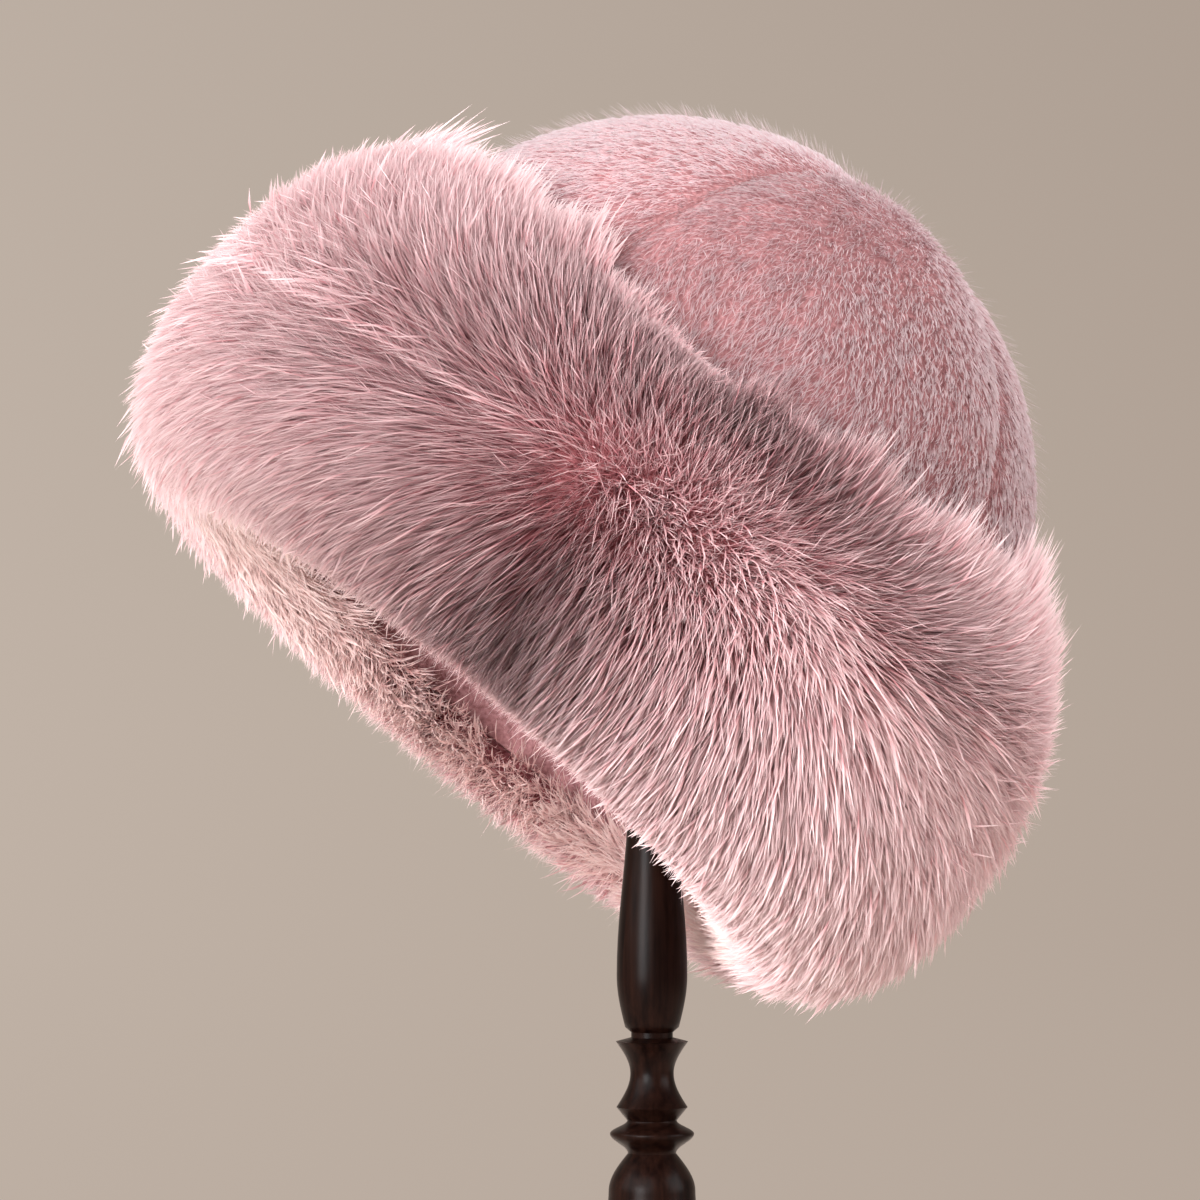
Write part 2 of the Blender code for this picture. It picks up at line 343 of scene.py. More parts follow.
@dataclass(frozen=True)
class WoodFinish:
    """Dark stained hardwood with a satin coat, its grain along the turning."""

    name: str = "dark_turned_wood"
    dark: Colour = (0.0028, 0.0009, 0.0007)
    light: Colour = (0.0150, 0.0058, 0.0038)
    grain: tuple[float, float, float] = (420.0, 420.0, 16.0)
    roughness: float = 0.30

    def make(self) -> bpy.types.Material:
        """The finish as a node material."""
        made, tree, shader = new_material(self.name)
        place = tree.nodes.new("ShaderNodeTexCoord")
        stretch = tree.nodes.new("ShaderNodeMapping")
        stretch.inputs["Scale"].default_value = self.grain
        tree.links.new(place.outputs["Object"], stretch.inputs["Vector"])
        noise = tree.nodes.new("ShaderNodeTexNoise")
        noise.inputs["Scale"].default_value = 1.0
        noise.inputs["Detail"].default_value = 6.0
        noise.inputs["Roughness"].default_value = 0.65
        tree.links.new(stretch.outputs["Vector"], noise.inputs["Vector"])
        colour = ramp(tree, noise.outputs["Fac"], ((0.35, self.dark), (0.72, self.light)))
        tree.links.new(colour, shader.inputs["Base Color"])
        bump = tree.nodes.new("ShaderNodeBump")
        bump.inputs["Distance"].default_value = 0.00012
        bump.inputs["Strength"].default_value = 0.35
        tree.links.new(noise.outputs["Fac"], bump.inputs["Height"])
        tree.links.new(bump.outputs["Normal"], shader.inputs["Normal"])
        shader.inputs["Roughness"].default_value = self.roughness
        shader.inputs["Specular IOR Level"].default_value = 0.06
        return made


# The hat

@dataclass(frozen=True)
class HatSeat:
    """How the hat sits on the stand: its middle, its tilt and its lean."""

    centre: tuple[float, float, float] = (0.0027, 0.0, 0.2900)
    tilt: float = math.radians(39.5)
    lean: float = math.radians(9)

    def turn(self) -> np.ndarray:
        """The rotation from the hat's frame: leaned back, then tilted right."""
        low, high = math.cos(self.lean), math.sin(self.lean)
        lean = np.array(((1, 0, 0), (0, low, high), (0, -high, low)))
        low, high = math.cos(self.tilt), math.sin(self.tilt)
        tilt = np.array(((low, 0, high), (0, 1, 0), (-high, 0, low)))
        return tilt @ lean

    def place(self, points: np.ndarray) -> np.ndarray:
        """Points of the hat's frame, moved to where the hat sits."""
        return points @ self.turn().T + np.array(self.centre)

    def point(self, directions: np.ndarray) -> np.ndarray:
        """Directions of the hat's frame, turned as the hat is."""
        return directions @ self.turn().T

    def down(self) -> np.ndarray:
        """The direction of gravity in the hat's frame."""
        return np.array((0.0, 0.0, -1.0)) @ self.turn()


class Gore(Enum):
    """The crown's gores, in turn from the front one."""

    FRONT = 0
    RIGHT = 1
    BACK = 2
    LEFT = 3


@dataclass
class Crown:
    """The plush crown: four gores, and the short pile that lies on them."""

    seat: HatSeat
    radius: float = 0.0985
    wall: float = 0.0050
    rim_radius: float = 0.0975
    rim_drop: float = 0.0700
    first_seam: float = math.radians(-121)
    front_angle: float = math.radians(83)
    puff: float = 0.0015
    seam_depth: float = 0.0022
    seam_width: float = 0.0055
    gap: float = 0.0003
    columns: int = 28
    rows: int = 50
    pile_count: int = 80000
    pile_length: float = 0.0068
    pile_lift: float = 0.0026
    pile_width: float = 0.00030
    pile_end: float = -0.020
    stray_share: float = 0.15
    stray_lift: float = 0.0062
    groove: float = 0.0022
    calm: float = 0.0060
    # Tone added on each gore: the paler back and left gores are painted sheen and top light.
    gore_painted_light: tuple[float, float, float, float] = (-0.02, 0.0, 0.42, 0.62)
    seed: int = 21

    def seams(self) -> np.ndarray:
        """Angles of the five seam lines that bound the gores, in turn."""
        rest = (2 * math.pi - self.front_angle) / (len(Gore) - 1)
        steps = [0.0, self.front_angle] + [self.front_angle + rest * k for k in (1, 2, 3)]
        return self.first_seam + np.array(steps)

    def dome(self) -> float:
        """Length of the arc from the crown's top to the ball's middle."""
        return self.radius * math.pi / 2

    def find_gore(self, angle: np.ndarray) -> tuple[np.ndarray, np.ndarray, np.ndarray]:
        """Which gore each angle is in, how far past its first seam, and the gore's span."""
        lines = self.seams()
        turned = lines[0] + np.mod(angle - lines[0], 2 * math.pi)
        which = np.clip(np.searchsorted(lines, turned, side="right") - 1, 0, len(Gore) - 1)
        return which, turned - lines[which], np.diff(lines)[which]

    def surface(self, angle: np.ndarray, arc: np.ndarray, lift: np.ndarray) -> np.ndarray:
        """Points on or above the crown.

        The profile is a quarter circle down to the ball's middle and a line
        from there to the rim. The gore's puff, a sine across and along it,
        pushes it out, and a bell-shaped valley at each seam draws it in.

        Args:
            angle: angles round the axis.
            arc: lengths from the top along the surface.
            lift: heights above the surface.

        Returns:
            The points in the hat's frame.
        """
        polar = np.minimum(arc / self.radius, math.pi / 2)
        drop = np.maximum(arc - self.dome(), 0.0)
        plain = np.where(
            drop > 0, mix(self.radius, self.rim_radius, drop / self.rim_drop),
            self.radius * np.sin(polar),
        )
        height = np.where(drop > 0, -drop, self.radius * np.cos(polar))
        which, past, span = self.find_gore(angle)
        across = past / span
        rise = np.sin(np.pi * np.minimum(arc / self.dome(), 1.0))
        to_seam = np.minimum(across, 1 - across) * span * plain
        out = self.puff * rise * np.sin(np.pi * across)
        out = out - self.seam_depth * np.exp(-((to_seam / self.seam_width) ** 2)) + lift
        radius = plain + out * np.sin(polar)
        height = height + out * np.cos(polar)
        return np.stack((radius * np.cos(angle), radius * np.sin(angle), height), axis=-1)

    def build_gore(self, gore: Gore, finish: bpy.types.Material) -> bpy.types.Object:
        """One gore as a closed wall.

        The outer face is a grid from the tip to the rim and from seam to
        seam. The grid goes on round the rim and back up the inner face, a
        wall's thickness inside, and its two sides are closed the same way.

        Args:
            gore: which of the four.
            finish: its material.

        Returns:
            The piece.
        """
        lines = self.seams()
        low, high = lines[gore.value], lines[gore.value + 1]
        tip = self.gap / 2 / math.sin((high - low) / 2)
        arc = mix(tip, self.dome() + self.rim_drop, np.linspace(0, 1, self.rows))[:, None]
        plain = self.radius * np.sin(np.minimum(arc / self.radius, math.pi / 2))
        edge = np.arcsin(np.clip(self.gap / 2 / plain, 0, 1))
        across = np.linspace(0, 1, self.columns)[None]
        angle = mix(low + edge, high - edge, across)
        arc = np.broadcast_to(arc, angle.shape)
        outer = self.surface(angle, arc, np.zeros_like(angle))
        inner = self.surface(angle, arc, np.full_like(angle, -self.wall))
        ring = np.concatenate((outer, inner[:, ::-1]), axis=1)
        mesh = sheet_mesh(gore.name, ring, (False, True))
        piece = make_piece("crown_gore_" + gore.name.lower(), mesh, finish)
        close_rows(piece, self.seat)
        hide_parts("crown_panel_" + gore.name.lower())
        return piece

    def build_pile(self, finish: bpy.types.Material) -> bpy.types.Object:
        """The short pile as blades that lie down the crown.

        Roots are spread evenly over the surface. A blade runs down the
        surface from its root while it rises fast at first and then levels
        off, and it wanders sideways by a slow wave and a little at random.

        Args:
            finish: its material.

        Returns:
            The piece.
        """
        dice = np.random.default_rng(self.seed)
        end = self.dome() - self.pile_end
        level = dice.uniform(0, 1, self.pile_count)
        cap = 1 - level * (1 + (end - self.dome()) / self.radius)
        on_ball = np.arccos(np.clip(cap, -1, 1)) * self.radius
        arc = np.where(cap >= 0, on_ball, self.dome() - cap * self.radius)
        angle = dice.uniform(0, 2 * math.pi, self.pile_count)
        off_seam, which = self.to_seam(angle, arc)
        parted = np.exp(-((off_seam / self.groove) ** 2))
        length = self.pile_length * dice.uniform(0.6, 1.15, self.pile_count) * (1 - 0.60 * parted)
        lift = self.pile_lift * dice.uniform(0.5, 1.25, self.pile_count) * (1 - 0.92 * parted)
        stray = dice.uniform(0, 1, self.pile_count) < self.stray_share
        lift = np.where(stray, self.stray_lift * dice.uniform(0.5, 1.2, self.pile_count), lift)
        wave = 0.35 * np.sin(3 * angle + arc * 60) + 0.25 * np.sin(7 * angle - arc * 90 + 1.3)
        drift = wave * 0.6 + dice.normal(0, 0.26, self.pile_count)
        drift = drift * (1 - np.exp(-((off_seam / self.calm) ** 2)))
        steps = np.linspace(0, 1, 4)[None]
        down = arc[:, None] + length[:, None] * steps * np.cos(drift)[:, None]
        ring = np.maximum(self.radius * np.sin(np.minimum(down / self.radius, math.pi / 2)), 0.004)
        turned = angle[:, None] + length[:, None] * steps * np.sin(drift)[:, None] / ring
        rise = lift[:, None] * np.where(stray[:, None], steps, 1 - (1 - steps) ** 2)
        spine = self.surface(turned, down, rise)
        half = self.pile_width / 2 * np.array((1.0, 0.9, 0.7, 0.0))[None]
        half = half * np.where(stray, 0.42, 1.0)[:, None]
        # The pile is darker along the seams: partly the parted pile's own look, partly painted shade
        # in the seams' creases.
        tone = dice.normal(0.5, 0.13, self.pile_count) - 0.60 * parted
        # Each gore's painted light is added to the tone, and strays are a little paler.
        tone = np.clip(tone + np.array(self.gore_painted_light)[which] + 0.1 * stray, 0, 1)
        polar = np.minimum(arc / self.radius, math.pi / 2)
        out = (np.sin(polar) * np.cos(angle), np.sin(polar) * np.sin(angle), np.cos(polar))
        facing = self.seat.point(np.stack(out, axis=-1))
        mesh = blade_mesh("crown_pile", self.seat.place(spine), half, tone, facing, 0.15, True, dice)
        piece = make_piece("crown_pile", mesh, finish)
        return piece

    def to_seam(self, angle: np.ndarray, arc: np.ndarray) -> tuple[np.ndarray, np.ndarray]:
        """How far places on the crown are from the nearest seam, and which gore has them."""
        which, past, span = self.find_gore(angle)
        ring = self.radius * np.sin(np.minimum(arc / self.radius, math.pi / 2))
        return np.minimum(past, span - past) * ring, which


def close_rows(piece: bpy.types.Object, seat: HatSeat) -> None:
    """Closes a gore's tip and rim and puts its mesh in place.

    The first and last rows of its ring of points are loops whose outer and
    inner halves face each other. The points that meet at the tip are merged,
    and each loop that is left open is filled with one face.

    Args:
        piece: the gore, still in the hat's frame.
        seat: where the hat sits.
    """
    bm = bmesh.new()
    bm.from_mesh(piece.data)
    bmesh.ops.remove_doubles(bm, verts=bm.verts, dist=0.00001)
    loose = [edge for edge in bm.edges if edge.is_boundary]
    bmesh.ops.holes_fill(bm, edges=loose, sides=0)
    bmesh.ops.recalc_face_normals(bm, faces=bm.faces)
    bm.to_mesh(piece.data)
    bm.free()
    count = len(piece.data.vertices)
    points = np.empty(count * 3, dtype=np.float32)
    piece.data.vertices.foreach_get("co", points)
    placed = seat.place(points.reshape(-1, 3).astype(float))
    piece.data.vertices.foreach_set("co", placed.astype(np.float32).ravel())
    piece.data.update()


@dataclass(frozen=True)
class Stretch:
    """One stretch of the cuff's coat: its angles, blades and their width."""

    name: str
    start: float
    end: float
    blades: int
    width: float
    low: float = 0.0
    high: float = 1.0


@dataclass
class FurCuff:
    """The cuff of long fur: a dense body under a coat of tapered blades."""

    seat: HatSeat
    root_radius: float = 0.1015
    band_top: float = 0.0100
    band_bottom: float = -0.0680
    out: float = 0.0365
    up: float = 0.0660
    down: float = 0.0540
    belly: float = -0.0350
    front_dip: float = 0.0140
    band_dip: float = 0.6
    squareness: float = 2.15
    fan_low: float = math.radians(-97)
    fan_high: float = math.radians(86)
    bow: float = 0.15
    part_angle: float = math.radians(-84)
    part_share: float = 0.60
    part_slope: float = 0.08
    part_half: float = 0.040
    part_ramp: float = 0.034
    lean: float = 0.020
    overlap: float = 0.022
    coat_radius: float = 0.125
    coat_length: float = 0.145
    clump_size: int = 7
    stray_share: float = 0.025
    sag: float = 0.0010
    body_reach: float = 0.64
    tuft_cells: tuple[int, int] = (46, 9)
    seed: int = 5
    stretches: tuple[Stretch, ...] = (
        Stretch("front_left", math.radians(-182), math.radians(-122), 66000, 0.00027),
        Stretch("front", math.radians(-122), math.radians(-62), 66000, 0.00027),
        Stretch("front_right", math.radians(-62), math.radians(-2), 66000, 0.00027),
        Stretch("back_right", math.radians(-2), math.radians(88), 32000, 0.00046),
        Stretch("back_left", math.radians(88), math.radians(178), 32000, 0.00046),
        Stretch("hem", math.radians(-180), math.radians(180), 28000, 0.00032, -0.22, 0.03),
    )

    def comb(self, angle: np.ndarray, share: np.ndarray, reach: np.ndarray) -> np.ndarray:
        """Points of the combed flow.

        A hair's root lies on the band, share of the way up it. Its tip lies
        on the cuff's outline, a rounded square about the belly's height, at
        a fan angle that goes evenly with share. Between them it is a bowed
        path with one control point, pushed out from the middle.

        Args:
            angle: angles round the axis.
            share: places up the band, 0 to 1.
            reach: places along the hair, 0 at the root and 1 at the tip.

        Returns:
            The points in the hat's frame.
        """
        dip = self.front_dip * np.maximum(0.0, np.cos(angle + math.pi / 2)) ** 2
        root_r = np.full_like(share, self.root_radius)
        up_band = np.clip(share, 0.0, 1.0)
        root_h = mix(self.band_bottom, self.band_top - dip * self.band_dip, up_band)
        fan = mix(self.fan_low, self.fan_high, share)
        power = 2 / self.squareness
        out = np.sign(np.cos(fan)) * np.abs(np.cos(fan)) ** power
        rise = np.sign(fan) * np.abs(np.sin(fan)) ** power
        tip_r = self.root_radius + self.out * out
        tip_h = self.belly + np.where(fan > 0, self.up - dip, self.down) * rise
        bow = self.bow * np.hypot(tip_r - root_r, tip_h - root_h)
        mid_r, mid_h = (root_r + tip_r) / 2 + bow, (root_h + tip_h) / 2
        a, b, c = (1 - reach) ** 2, 2 * reach * (1 - reach), reach ** 2
        radius = root_r * a + mid_r * b + tip_r * c
        height = root_h * a + mid_h * b + tip_h * c
        return np.stack((radius * np.cos(angle), radius * np.sin(angle), height), axis=-1)

    def build_body(self, finish: bpy.types.Material) -> bpy.types.Object:
        """The dense fur under the tips, a closed ring.

        Its outer face is the combed flow at one reach, from the band's foot
        to its top, and its inner face is the band itself.

        Args:
            finish: its material.

        Returns:
            The piece.
        """
        angle = np.linspace(0, 2 * math.pi, 160, endpoint=False)[:, None]
        share = np.linspace(0, 1, 36)[None]
        angle_out, share_out = np.broadcast_arrays(angle, share)
        reach = np.full(angle_out.shape, self.body_reach)
        outer = self.comb(angle_out, share_out.copy(), reach)
        back = np.linspace(1, 0, 8)[None]
        angle_in, share_in = np.broadcast_arrays(angle, back)
        inner = self.comb(angle_in, share_in.copy(), np.zeros(angle_in.shape))
        ring = np.concatenate((outer, inner), axis=1)
        mesh = sheet_mesh("cuff_body", self.seat.place(ring), (True, True))
        piece = make_piece("cuff_body", mesh, finish)
        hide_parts("fur_cuff")
        return piece

    def tufts(self, angle: np.ndarray, share: np.ndarray) -> np.ndarray:
        """Three smooth random values over the cuff, about -1 to 1.

        Random numbers on a coarse grid, round the cuff and up it, are
        blended with an S between the grid's corners.

        Args:
            angle: angles round the axis.
            share: places up the band.

        Returns:
            The three values, stacked first.
        """
        around, up = self.tuft_cells
        grid = np.random.default_rng(self.seed + 50).uniform(-1, 1, (3, around, up + 4))
        column = np.mod(angle / (2 * math.pi), 1.0) * around
        row = np.clip(share * up + 2, 0, up + 2.999)
        left, low = np.floor(column).astype(int), np.floor(row).astype(int)
        across, rise = smooth(column - left), smooth(row - low)
        near, far = left % around, (left + 1) % around
        bottom = mix(grid[:, near, low], grid[:, far, low], across)
        return mix(bottom, mix(grid[:, near, low + 1], grid[:, far, low + 1], across), rise)

    def lean_away(self, angle: np.ndarray, share: np.ndarray) -> tuple[np.ndarray, np.ndarray]:
        """How far the tips lean away from the parting, as turns and as shares.

        The parting is a soft line along the front of the cuff. Each blade
        leans away from it, across the line in its middle and more and more
        along it towards its ends. It leans by the full lean beyond a short
        ramp, less at the coat's two edges and at the back.

        Args:
            angle: angles round the axis.
            share: places up the band.

        Returns:
            What is added to the angles and to the shares.
        """
        off = np.mod(angle - self.part_angle + math.pi, 2 * math.pi) - math.pi
        along = off * self.coat_radius
        beyond = np.sign(along) * (np.hypot(along, self.part_half) - self.part_half)
        level = self.part_share + self.part_slope * np.clip(off, -1, 1)
        up = (share - level) * self.coat_length
        far = np.hypot(beyond, up) + 1e-9
        amount = self.lean * smooth(far / self.part_ramp)
        turn = amount * beyond / far * (0.5 + 0.5 * np.cos(off)) / self.coat_radius
        edge = 1 - 0.7 * smooth((np.abs(2 * share - 1) - 0.55) / 0.45)
        return turn, amount * up / far * edge / self.coat_length

    def build_coat(self, stretch: Stretch, finish: bpy.types.Material) -> bpy.types.Object:
        """One stretch of the coat of blades.

        Blades come in clumps that share a tip: a blade's coordinates on the
        flow go from its own root to its clump's tip as it grows, so each
        blade follows the flow and the clumps close to points. The clumps'
        tips wander by slow waves round the cuff, and all lean away from the
        parting. Blades end at any depth of the coat's outer part, so that it
        thins out softly. Gravity bends each blade down by the square of its
        reach.

        Args:
            stretch: where it is, and how many blades it has.
            finish: its material.

        Returns:
            The piece.
        """
        dice = np.random.default_rng(self.seed + self.stretches.index(stretch))
        clumps = stretch.blades // self.clump_size
        angle = dice.uniform(stretch.start, stretch.end, clumps)
        share = dice.uniform(stretch.low, stretch.high, clumps)
        wave = 0.010 * np.sin(5 * angle + 4 * share) + 0.008 * np.sin(11 * angle - 7 * share + 2.0)
        tuft = self.tufts(angle, share)
        tip_angle = angle + wave + 0.020 * tuft[0] + dice.normal(0, 0.020, clumps)
        tip_share = share + 0.022 * tuft[1] + dice.normal(0, 0.018, clumps)
        reach = 0.97 + 0.012 * tuft[2] + dice.normal(0, 0.020, clumps)

        def spread(values: np.ndarray, amount: float) -> np.ndarray:
            """Each clump's value for each of its blades, with a scatter."""
            wide = np.repeat(values, self.clump_size)
            return wide + dice.normal(0, amount, len(wide))

        root_angle, root_share = spread(angle, 0.016), spread(share, 0.018)
        turned, raised = self.lean_away(root_angle, root_share)
        end_angle = spread(tip_angle, 0.020) + turned
        end_share = spread(tip_share, 0.018) + raised
        depth = dice.uniform(0, 1, len(root_angle)) ** 1.6
        end_reach = spread(reach, 0.015) - 0.28 * depth
        stray = dice.uniform(0, 1, len(root_angle)) < self.stray_share
        end_reach = np.where(stray, 1.0 + np.abs(dice.normal(0, 0.06, len(stray))), end_reach)
        steps = np.array((0.0, 0.36, 0.70, 1.0))[None]
        blades_angle = mix(root_angle[:, None], end_angle[:, None], steps ** 1.2)
        blades_share = mix(root_share[:, None], end_share[:, None], steps ** 1.2)
        blades_share = np.clip(blades_share, stretch.low - 0.08, 1.06)
        blades_reach = end_reach[:, None] * (0.57 + 0.43 * steps)
        spine = self.comb(blades_angle, blades_share, blades_reach)
        spine = spine + self.seat.down() * (self.sag * blades_reach ** 2)[..., None]
        over = np.repeat(0.5 + 0.9 * tuft[1], self.clump_size) * dice.uniform(0, 1, len(stray)) ** 1.5
        over = self.overlap * np.maximum(over, 0.0) * smooth((root_share - 0.74) / 0.2)
        rise = (over[:, None] * steps ** 1.5)[..., None]
        inward = (-0.35 * np.cos(blades_angle), -0.35 * np.sin(blades_angle), 0.94 + 0 * blades_angle)
        spine = spine + rise * np.stack(inward, axis=-1)
        half = stretch.width / 2 * np.array((0.9, 1.0, 0.6, 0.0))[None]
        half = half * np.where(stray, 0.7, dice.uniform(0.75, 1.2, len(stray)))[:, None]
        # Tone differs at random by clump and blade, and strays are paler. Blades that end deeper in
        # the coat are darker: painted shade of the coat's depth.
        tone = spread(dice.normal(0.58, 0.06, clumps), 0.09) + 0.15 * stray - 0.36 * depth * ~stray
        # Paler towards the band's top and bottom edges: painted light on the cuff's rims.
        tone += 0.32 * smooth((root_share - 0.82) / 0.15) + 0.30 * smooth((0.14 - root_share) / 0.12)
        middle = self.comb(end_angle, np.full_like(root_share, 0.5), np.full_like(root_share, 0.15))
        facing = self.comb(end_angle, end_share, np.ones_like(end_share)) - middle
        facing = self.seat.point(facing / np.linalg.norm(facing, axis=1, keepdims=True))
        mesh = blade_mesh(
            "cuff_coat", self.seat.place(spine), half, np.clip(tone, 0, 1), facing, 1.6, False, dice
        )
        piece = make_piece("cuff_coat_" + stretch.name, mesh, finish)
        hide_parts("fur_cuff")
        return piece


# The stand

class Cut(Enum):
    """How a turned radius goes from one row to the next."""

    LINE = "line"
    OGEE = "ogee"
    EARLY = "early"
    LATE = "late"

    def share(self, way: np.ndarray) -> np.ndarray:
        """Share of the change that is done at a share of the way down."""
        if self is Cut.OGEE:
            return (1 - np.cos(np.pi * way)) / 2
        if self is Cut.EARLY:
            return np.sin(np.pi * way / 2)
        if self is Cut.LATE:
            return 1 - np.cos(np.pi * way / 2)
        return way


@dataclass
class Stand:
    """The turned wooden stand: base, spindle and head."""

    spindle_radius: float = 0.0119
    gap: float = 0.0003
    head_radius: float = 0.0450
    head_cut: float = 0.0300
    head_foot: float = 0.0053
    base_rim: float = 0.0110
    base_chamfer: float = 0.0015
    base_land: float = 0.0200
    steps: int = 96
    turning: tuple = (
        # height share, radius share, cut from the row above
        (1.000, 0.53, Cut.LINE),
        (0.640, 0.55, Cut.LINE),
        (0.460, 0.815, Cut.OGEE),
        (0.409, 0.62, Cut.LATE),
        (0.404, 0.48, Cut.LINE),
        (0.399, 0.48, Cut.LINE),
        (0.395, 0.83, Cut.LINE),
        (0.364, 0.50, Cut.EARLY),
        (0.331, 0.82, Cut.LATE),
        (0.318, 0.57, Cut.LINE),
        (0.305, 0.97, Cut.OGEE),
        (0.286, 0.555, Cut.OGEE),
        (0.249, 1.00, Cut.EARLY),
        (0.200, 1.13, Cut.OGEE),
        (0.075, 0.74, Cut.OGEE),
        (0.055, 0.74, Cut.LINE),
        (0.030, 1.15, Cut.EARLY),
        (0.000, 1.38, Cut.LATE),
    )

    def turn(self, name: str, profile: np.ndarray, finish: bpy.types.Material) -> bpy.types.Object:
        """A turned piece: an outline of radius and height carried round the axis.

        Args:
            name: the CAD node that it replaces.
            profile: the outline from the top of the axis to its foot.
            finish: its material.

        Returns:
            The piece.
        """
        around = np.linspace(0, 2 * math.pi, self.steps, endpoint=False)[:, None]
        radius, height = profile[None, :, 0], profile[None, :, 1]
        points = np.stack(
            (radius * np.cos(around), radius * np.sin(around), height + 0 * around), axis=-1
        )
        mesh = sheet_mesh(name, points, (True, False))
        piece = make_piece("turned_" + name, mesh, finish)
        bm = bmesh.new()
        bm.from_mesh(mesh)
        bmesh.ops.remove_doubles(bm, verts=bm.verts, dist=0.000001)
        bmesh.ops.recalc_face_normals(bm, faces=bm.faces)
        bm.to_mesh(mesh)
        bm.free()
        mesh.set_sharp_from_angle(angle=math.radians(38))
        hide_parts(name)
        return piece

    def build_spindle(self, finish: bpy.types.Material) -> bpy.types.Object:
        """The spindle between the base's land and the head's flat."""
        low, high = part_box("stand_base")[1][2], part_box("stand_head")[0][2]
        foot, length = low + self.gap, high - low - 2 * self.gap
        rows = self.turning
        outline = [np.array(((0.0, rows[0][0]), (rows[0][1], rows[0][0])))]
        for (height, radius, _), (next_height, next_radius, cut) in zip(rows, rows[1:]):
            way = np.linspace(0, 1, 2 if cut is Cut.LINE else 11)[1:]
            grown = mix(radius, next_radius, cut.share(way))
            outline.append(np.stack((grown, mix(height, next_height, way)), axis=1))
        outline.append(np.array(((0.0, 0.0),)))
        profile = np.concatenate(outline) * np.array((self.spindle_radius, length))
        return self.turn("stand_spindle", profile + np.array((0.0, foot)), finish)

    def build_head(self, finish: bpy.types.Material) -> bpy.types.Object:
        """The head: a ball cut flat below."""
        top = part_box("stand_head")[1][2]
        polar = np.linspace(0, math.acos(-self.head_cut / self.head_radius), 28)
        ball = self.head_radius * np.stack((np.sin(polar), np.cos(polar)), axis=1)
        foot = np.array(((0.0, -self.head_cut),))
        profile = np.concatenate((ball, foot)) + np.array((0.0, top - self.head_radius))
        return self.turn("stand_head", profile, finish)

    def build_base(self, finish: bpy.types.Material) -> bpy.types.Object:
        """The base: a flat land, an ogee down to the rim and a flat underside."""
        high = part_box("stand_base")[1]
        radius, top = high[0], high[2]
        way = np.linspace(0, 1, 17)
        level = mix(top, self.base_rim, Cut.OGEE.share(way))
        slope = np.stack((mix(self.base_land, radius - self.base_chamfer, way), level), axis=1)
        round_off = np.linspace(0, math.pi / 2, 5)[1:]
        edge = np.stack((np.sin(round_off) - 1, np.cos(round_off) - 1), axis=1) * self.base_chamfer
        upper = edge + np.array((radius, self.base_rim))
        lower = edge[::-1] * np.array((1, -1)) + np.array((radius, 0.0))
        profile = np.concatenate(
            (np.array(((0.0, top),)), slope, upper, lower, np.array(((0.0, 0.0),)))
        )
        return self.turn("stand_base", profile, finish)


# The studio

